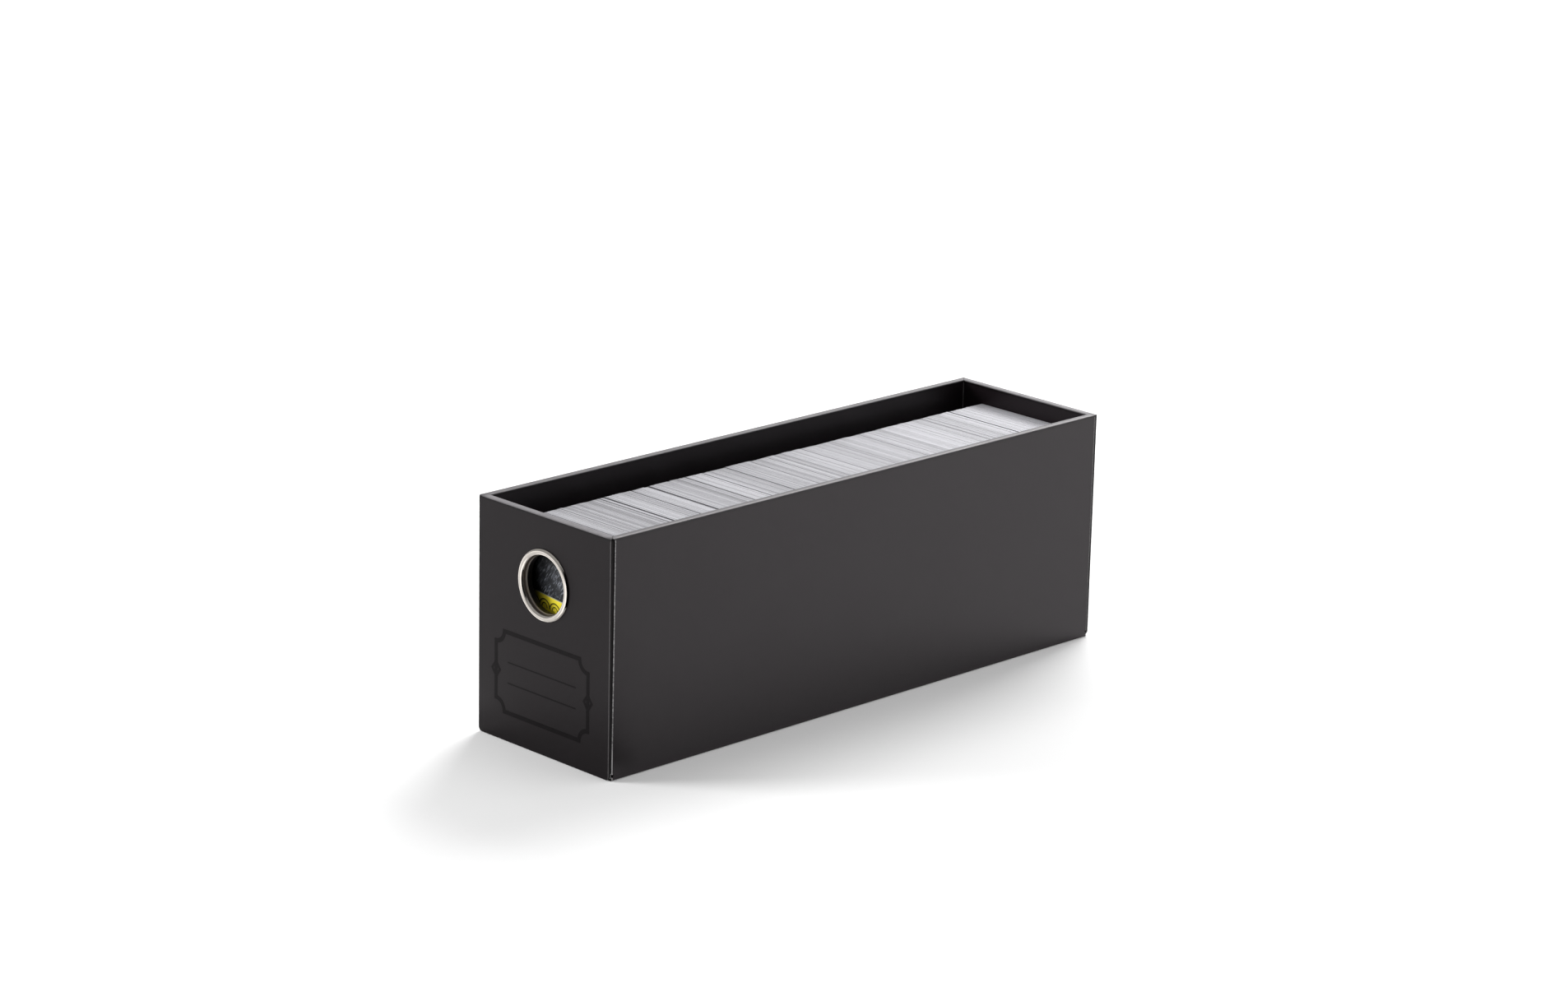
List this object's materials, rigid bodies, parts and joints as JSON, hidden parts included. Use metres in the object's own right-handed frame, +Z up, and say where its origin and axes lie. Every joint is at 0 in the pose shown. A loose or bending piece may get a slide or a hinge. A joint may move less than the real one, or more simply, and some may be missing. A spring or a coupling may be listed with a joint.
{
  "type": "trading card storage drawer",
  "caption": "Long open-topped black board drawer with double walls and a metal finger ring in its front, filled with standing trading cards.",
  "frame": {"origin": "centre of the tray's underside", "axes": "+Y along the tray from the ringed front to the back, +X to the right seen from the front, +Z up"},
  "size_m": [0.0794, 0.2813, 0.1],
  "materials": {
    "tray_board": "matt black laminated board with a faint satin sheen",
    "pad_board": "black board, matt",
    "ring_metal": "bright nickel plate",
    "card_stock": "cut white card edges with fine grey lines",
    "card_print": "printed, semi-gloss"
  },
  "bodies": {
    "tray": {"base_panel": "tray_board", "floor_pad": "pad_board", "front_wall": "tray_board", "back_wall": "tray_board", "left_wall": "tray_board", "right_wall": "tray_board", "corner_flap_front_left": "tray_board", "corner_flap_front_right": "tray_board", "corner_flap_back_left": "tray_board", "corner_flap_back_right": "tray_board", "pull_ring": "ring_metal", "ring_washer": "ring_metal"},
    "front_card": {"front_card": "card_print"},
    "bundle_01": {"card_bundle_01": "card_stock"},
    "bundle_02": {"card_bundle_02": "card_stock"},
    "bundle_03": {"card_bundle_03": "card_stock"},
    "bundle_04": {"card_bundle_04": "card_stock"},
    "bundle_05": {"card_bundle_05": "card_stock"},
    "bundle_06": {"card_bundle_06": "card_stock"},
    "bundle_07": {"card_bundle_07": "card_stock"},
    "bundle_08": {"card_bundle_08": "card_stock"},
    "bundle_09": {"card_bundle_09": "card_stock"},
    "bundle_10": {"card_bundle_10": "card_stock"},
    "bundle_11": {"card_bundle_11": "card_stock"},
    "bundle_12": {"card_bundle_12": "card_stock"},
    "bundle_13": {"card_bundle_13": "card_stock"},
    "bundle_14": {"card_bundle_14": "card_stock"},
    "bundle_15": {"card_bundle_15": "card_stock"},
    "bundle_16": {"card_bundle_16": "card_stock"},
    "bundle_17": {"card_bundle_17": "card_stock"},
    "bundle_18": {"card_bundle_18": "card_stock"}
  },
  "joints": [
    {"name": "lift_front_card", "type": "slide", "parent": "tray", "child": "front_card", "axis": [0, 0, 1], "range_m": [0, 0.11]},
    {"name": "lift_bundle_01", "type": "slide", "parent": "tray", "child": "bundle_01", "axis": [0, 0, 1], "range_m": [0, 0.11]},
    {"name": "lift_bundle_02", "type": "slide", "parent": "tray", "child": "bundle_02", "axis": [0, 0, 1], "range_m": [0, 0.11]},
    {"name": "lift_bundle_03", "type": "slide", "parent": "tray", "child": "bundle_03", "axis": [0, 0, 1], "range_m": [0, 0.11]},
    {"name": "lift_bundle_04", "type": "slide", "parent": "tray", "child": "bundle_04", "axis": [0, 0, 1], "range_m": [0, 0.11]},
    {"name": "lift_bundle_05", "type": "slide", "parent": "tray", "child": "bundle_05", "axis": [0, 0, 1], "range_m": [0, 0.11]},
    {"name": "lift_bundle_06", "type": "slide", "parent": "tray", "child": "bundle_06", "axis": [0, 0, 1], "range_m": [0, 0.11]},
    {"name": "lift_bundle_07", "type": "slide", "parent": "tray", "child": "bundle_07", "axis": [0, 0, 1], "range_m": [0, 0.11]},
    {"name": "lift_bundle_08", "type": "slide", "parent": "tray", "child": "bundle_08", "axis": [0, 0, 1], "range_m": [0, 0.11]},
    {"name": "lift_bundle_09", "type": "slide", "parent": "tray", "child": "bundle_09", "axis": [0, 0, 1], "range_m": [0, 0.11]},
    {"name": "lift_bundle_10", "type": "slide", "parent": "tray", "child": "bundle_10", "axis": [0, 0, 1], "range_m": [0, 0.11]},
    {"name": "lift_bundle_11", "type": "slide", "parent": "tray", "child": "bundle_11", "axis": [0, 0, 1], "range_m": [0, 0.11]},
    {"name": "lift_bundle_12", "type": "slide", "parent": "tray", "child": "bundle_12", "axis": [0, 0, 1], "range_m": [0, 0.11]},
    {"name": "lift_bundle_13", "type": "slide", "parent": "tray", "child": "bundle_13", "axis": [0, 0, 1], "range_m": [0, 0.11]},
    {"name": "lift_bundle_14", "type": "slide", "parent": "tray", "child": "bundle_14", "axis": [0, 0, 1], "range_m": [0, 0.11]},
    {"name": "lift_bundle_15", "type": "slide", "parent": "tray", "child": "bundle_15", "axis": [0, 0, 1], "range_m": [0, 0.11]},
    {"name": "lift_bundle_16", "type": "slide", "parent": "tray", "child": "bundle_16", "axis": [0, 0, 1], "range_m": [0, 0.11]},
    {"name": "lift_bundle_17", "type": "slide", "parent": "tray", "child": "bundle_17", "axis": [0, 0, 1], "range_m": [0, 0.11]},
    {"name": "lift_bundle_18", "type": "slide", "parent": "tray", "child": "bundle_18", "axis": [0, 0, 1], "range_m": [0, 0.11]}
  ]
}
